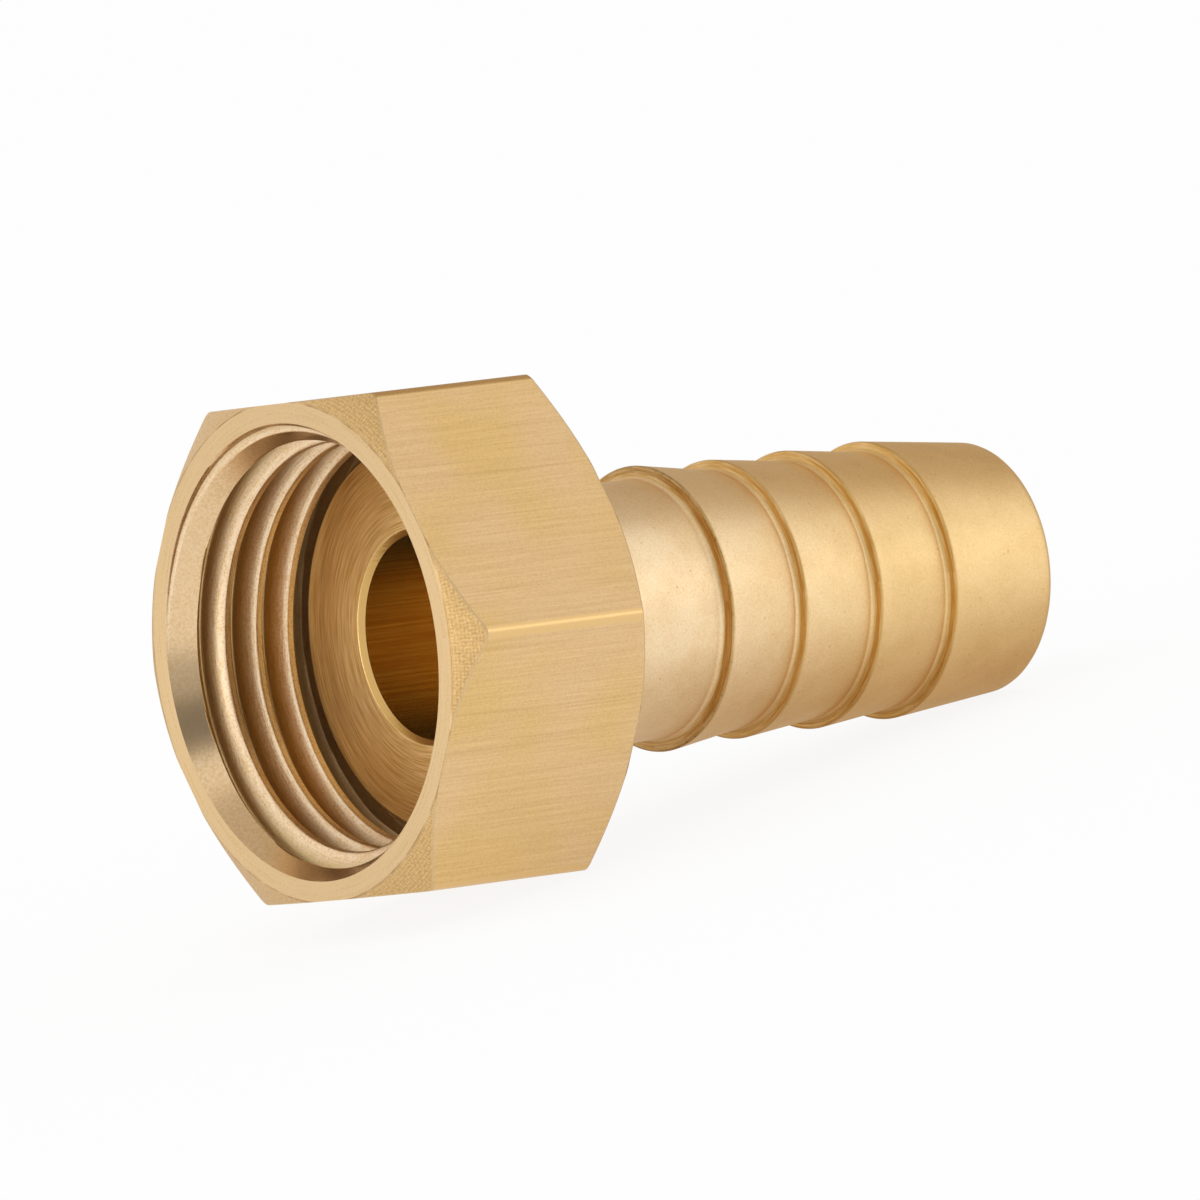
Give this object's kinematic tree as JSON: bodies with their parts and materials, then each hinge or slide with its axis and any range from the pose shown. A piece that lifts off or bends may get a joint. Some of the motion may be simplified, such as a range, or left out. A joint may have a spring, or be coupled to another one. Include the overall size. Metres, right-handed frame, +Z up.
{
  "type": "threaded hose connector",
  "caption": "Brass hose connector: a hexagonal union nut with an internal pipe thread swivels on a barbed hose tail with a flat sealing flange.",
  "frame": {"origin": "middle of the footprint, on the surface that the loose connector lies on", "axes": "+X from the nut's mouth towards the hose end, in plan; +Z up. The connector's own axis falls by 11.19 degrees towards +X, as it lies on the nut's rear lower edge and the lip of the tail"},
  "size_m": [0.0422, 0.0264, 0.0247],
  "materials": {
    "nut_brass": "machined from drawn hexagon bar",
    "tail_brass": "matt blasted skin, turned sealing face"
  },
  "bodies": {
    "nut": {"union_nut": "nut_brass"},
    "tail": {"hose_tail": "tail_brass"}
  },
  "joints": [
    {"name": "swivel", "type": "hinge", "parent": "nut", "child": "tail", "pos_m": [-0.01, 0, 0.01167], "axis": [0.981, 0, -0.194], "continuous": true}
  ]
}
